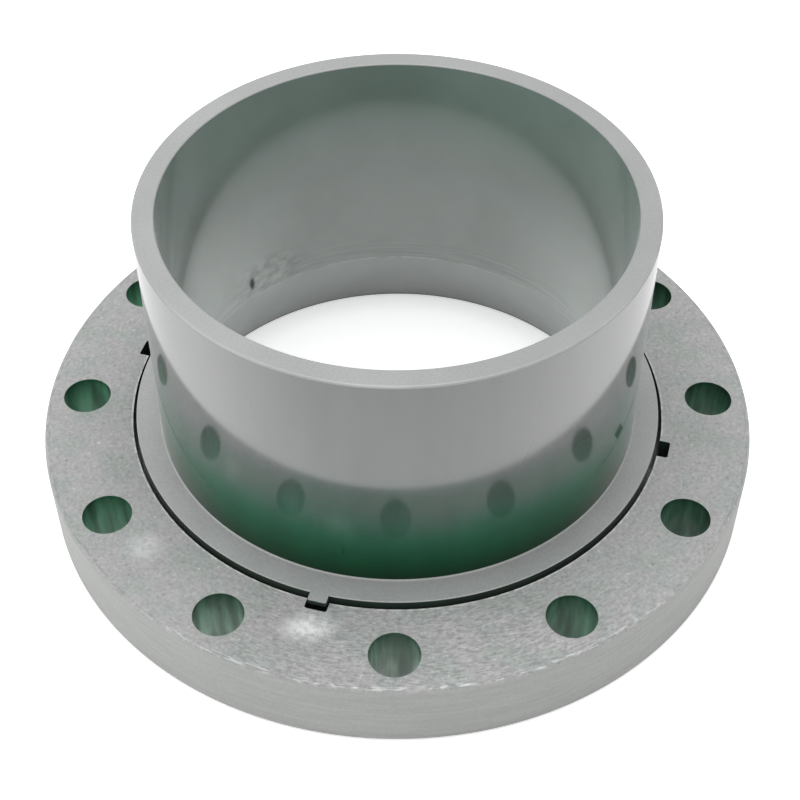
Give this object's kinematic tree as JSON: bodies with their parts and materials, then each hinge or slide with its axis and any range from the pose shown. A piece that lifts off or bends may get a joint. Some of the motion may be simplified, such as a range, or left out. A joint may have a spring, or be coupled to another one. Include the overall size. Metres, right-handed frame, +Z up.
{
  "type": "pipe flange",
  "caption": "Grey plastic loose-ring flange: a glued spigot hub with a stub flange, and a flat drilled backing ring that turns round it.",
  "frame": {"origin": "on the pipe's axis, in the plane of the hub's gasket face, on which the flange stands", "axes": "+Z up the pipe's axis, from the gasket face to the spigot's rim; -Y through the middle of a bolt hole"},
  "size_m": [0.4064, 0.4064, 0.1889],
  "materials": {
    "hub_pvc": "glossy moulded rigid PVC, mid grey",
    "ring_pvc": "dull, slightly mottled moulded rigid PVC, mid grey"
  },
  "bodies": {
    "hub": {"spigot_hub": "hub_pvc"},
    "ring": {"backing_ring": "ring_pvc"}
  },
  "joints": [
    {"name": "ring_turn", "type": "hinge", "parent": "hub", "child": "ring", "pos_m": [0, 0, 0.02245], "axis": [0, 0, 1], "continuous": true}
  ]
}
